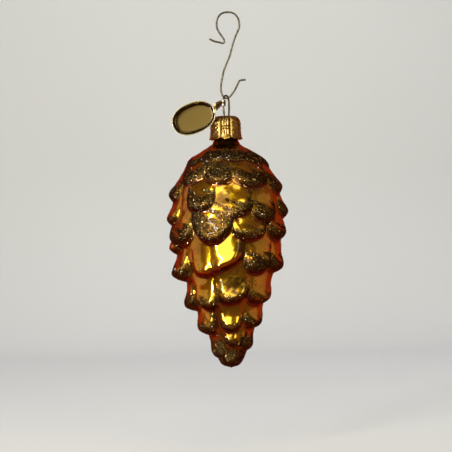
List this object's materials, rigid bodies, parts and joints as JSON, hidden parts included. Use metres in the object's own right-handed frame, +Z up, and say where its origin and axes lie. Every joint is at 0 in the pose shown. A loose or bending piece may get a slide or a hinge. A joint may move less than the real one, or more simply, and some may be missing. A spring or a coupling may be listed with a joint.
{
  "type": "painted glass pine cone ornament",
  "caption": "Hanging glass ornament shaped like a pine cone, with glittered scales, a stamped cap, a wire loop, a blank oval tag and an S hook.",
  "frame": {"origin": "inside of the top of the hook's upper bend, where the ornament hangs", "axes": "+Z up along the cone's axis, -Y towards the front, where the tag shows its hollow side, +X to the right seen from the front"},
  "size_m": [0.0523, 0.0518, 0.1535],
  "materials": {
    "lacquered_glass": "silvered inside, amber gold lacquer outside, gold and dark glitter on the scale tips",
    "cap_metal": "stamped, bright pale gold",
    "loop_wire": "drawn steel wire, slightly dull",
    "tag_metal": "stamped sheet, polished, blank",
    "hook_wire": "drawn steel wire, slightly dull"
  },
  "bodies": {
    "ornament": {"glass_cone": "lacquered_glass", "cap": "cap_metal", "wire_loop": "loop_wire", "hook": "hook_wire"},
    "tag": {"tag": "tag_metal"}
  },
  "joints": [
    {"name": "tag_swivel", "type": "hinge", "parent": "ornament", "child": "tag", "pos_m": [-0.0029, -0.00208, -0.0388], "axis": [0, 0, 1], "range_deg": [-40, 100]}
  ]
}
